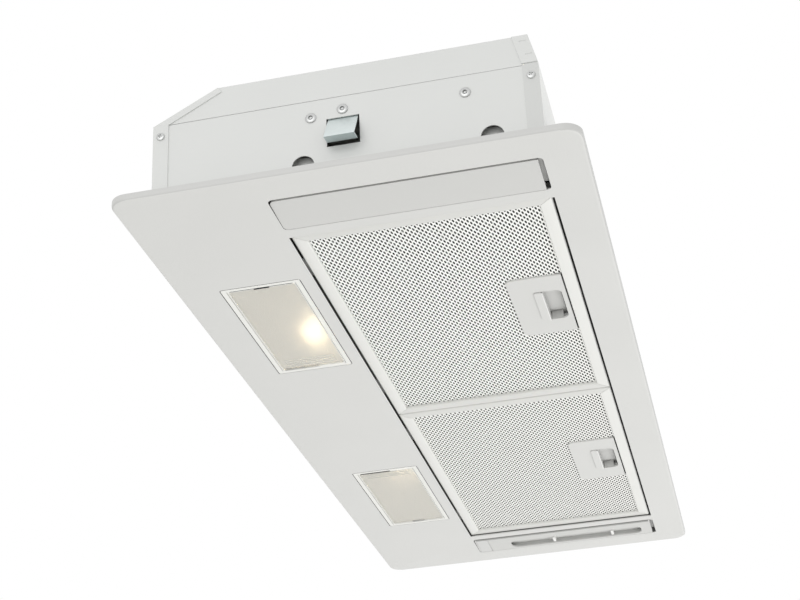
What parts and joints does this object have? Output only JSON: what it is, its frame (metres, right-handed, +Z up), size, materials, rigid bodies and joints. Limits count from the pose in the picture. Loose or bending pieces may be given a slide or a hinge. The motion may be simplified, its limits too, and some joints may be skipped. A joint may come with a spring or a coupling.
{
  "type": "built-in range hood",
  "caption": "Built-in kitchen extractor hood: flat face plate with latched perforated grease filters, lamp covers and slide controls under a sheet casing with blower and duct collar.",
  "frame": {"origin": "centre of the face plate, on the upper face of its return flange where it seats on the cupboard", "axes": "+X along the length to the blank end, -X to the control end, -Y to the lamps, +Z up to the duct"},
  "size_m": [0.746, 0.288, 0.2525],
  "materials": {
    "plate_paint": "satin light grey enamel",
    "casing_paint": "satin light grey enamel",
    "galvanised_sheet": "dull zinc",
    "motor_steel": "laminated steel can",
    "bright_steel": "ground steel",
    "zinc_fasteners": "bright zinc",
    "spring_steel": "zinc-plated spring strip",
    "black_plastic": "moulded black",
    "capacitor_plastic": "moulded white",
    "holder_plastic": "moulded white",
    "lamp_glass": "frosted glass",
    "lens_plastic": "frosted clear plastic",
    "panel_plastic": "fine-grained light grey",
    "tile_plastic": "bare grey tile",
    "switch_plastic": "moulded grey",
    "knob_plastic": "moulded white",
    "filter_frame_aluminium": "matt mill finish",
    "filter_sheet_aluminium": "perforated, matt",
    "filter_mesh_aluminium": "expanded mesh",
    "latch_plastic": "moulded light grey"
  },
  "bodies": {
    "casing": {"face_plate": "plate_paint", "front_wall": "casing_paint", "rear_wall": "casing_paint", "end_wall_blank": "casing_paint", "end_wall_control": "casing_paint", "top_cover": "casing_paint", "blower_box": "galvanised_sheet", "scroll_housing": "galvanised_sheet", "motor_body": "motor_steel", "motor_bracket": "galvanised_sheet", "motor_screws": "zinc_fasteners", "duct_collar": "black_plastic", "collar_screws": "zinc_fasteners", "damper_pin": "bright_steel", "terminal_box": "galvanised_sheet", "terminal_cover": "galvanised_sheet", "cable_gland": "black_plastic", "capacitor": "capacitor_plastic", "lamp_box_blank": "galvanised_sheet", "lamp_box_control": "galvanised_sheet", "lamp_holder_blank": "holder_plastic", "lamp_holder_control": "holder_plastic", "lamp_bulb_blank": "lamp_glass", "lamp_bulb_control": "lamp_glass", "control_panel": "panel_plastic", "control_tile": "tile_plastic", "lamp_switch": "switch_plastic", "fan_switch": "switch_plastic", "blank_panel": "panel_plastic", "clip_base_blank": "spring_steel", "clip_base_control": "spring_steel", "end_rivets": "zinc_fasteners", "corner_screws": "zinc_fasteners"},
    "filter_blank": {"filter_frame_blank": "filter_frame_aluminium", "filter_face_blank": "filter_sheet_aluminium", "filter_pack_blank": "filter_mesh_aluminium", "filter_back_blank": "filter_sheet_aluminium", "latch_plate_blank": "latch_plastic"},
    "latch_blank": {"latch_slider_blank": "latch_plastic"},
    "lens_blank": {"lamp_lens_blank": "lens_plastic"},
    "clip_blank": {"clip_tab_blank": "spring_steel"},
    "filter_control": {"filter_frame_control": "filter_frame_aluminium", "filter_face_control": "filter_sheet_aluminium", "filter_pack_control": "filter_mesh_aluminium", "filter_back_control": "filter_sheet_aluminium", "latch_plate_control": "latch_plastic"},
    "latch_control": {"latch_slider_control": "latch_plastic"},
    "lens_control": {"lamp_lens_control": "lens_plastic"},
    "clip_control": {"clip_tab_control": "spring_steel"},
    "lamp_slider": {"lamp_knob": "knob_plastic"},
    "fan_slider": {"fan_knob": "knob_plastic"},
    "wheel": {"impeller": "black_plastic", "motor_shaft": "bright_steel"},
    "damper_front": {"damper_flap_front": "galvanised_sheet"},
    "damper_rear": {"damper_flap_rear": "galvanised_sheet"}
  },
  "joints": [
    {"name": "filter_swing_blank", "type": "hinge", "parent": "casing", "child": "filter_blank", "pos_m": [0.1493, -0.0505, -0.0034], "axis": [-1, 0, 0], "range_deg": [0, 85]},
    {"name": "latch_slide_blank", "type": "slide", "parent": "filter_blank", "child": "latch_blank", "axis": [0, -1, 0], "range_m": [0, 0.004], "stiffness_N_per_m": 300, "springref_m": -0.002},
    {"name": "lens_swing_blank", "type": "hinge", "parent": "casing", "child": "lens_blank", "pos_m": [0.106, -0.0879, -0.0046], "axis": [0, 1, 0], "range_deg": [0, 75]},
    {"name": "clip_press_blank", "type": "hinge", "parent": "casing", "child": "clip_blank", "pos_m": [0.3538, 0, 0.0412], "axis": [0, 1, 0], "range_deg": [0, 8], "stiffness_Nm_per_rad": 2, "springref_deg": -2.86},
    {"name": "filter_swing_control", "type": "hinge", "parent": "casing", "child": "filter_control", "pos_m": [-0.1493, -0.0505, -0.0034], "axis": [-1, 0, 0], "range_deg": [0, 85]},
    {"name": "latch_slide_control", "type": "slide", "parent": "filter_control", "child": "latch_control", "axis": [0, -1, 0], "range_m": [0, 0.004], "stiffness_N_per_m": 300, "springref_m": -0.002},
    {"name": "lens_swing_control", "type": "hinge", "parent": "casing", "child": "lens_control", "pos_m": [-0.106, -0.0879, -0.0046], "axis": [0, -1, 0], "range_deg": [0, 75]},
    {"name": "clip_press_control", "type": "hinge", "parent": "casing", "child": "clip_control", "pos_m": [-0.3538, 0, 0.0412], "axis": [0, -1, 0], "range_deg": [0, 8], "stiffness_Nm_per_rad": 2, "springref_deg": -2.86},
    {"name": "lamp_slide", "type": "slide", "parent": "casing", "child": "lamp_slider", "axis": [0, 1, 0], "range_m": [-0.0325, 0.0125]},
    {"name": "fan_slide", "type": "slide", "parent": "casing", "child": "fan_slider", "axis": [0, 1, 0], "range_m": [-0.02, 0.02]},
    {"name": "impeller_spin", "type": "hinge", "parent": "casing", "child": "wheel", "pos_m": [-0.0385, 0.009, 0.1054], "axis": [0, 1, 0], "continuous": true},
    {"name": "damper_lift_front", "type": "hinge", "parent": "casing", "child": "damper_front", "pos_m": [0, 0.009, 0.2113], "axis": [-1, 0, 0], "range_deg": [0, 75]},
    {"name": "damper_lift_rear", "type": "hinge", "parent": "casing", "child": "damper_rear", "pos_m": [0, 0.009, 0.2113], "axis": [1, 0, 0], "range_deg": [0, 75]}
  ]
}
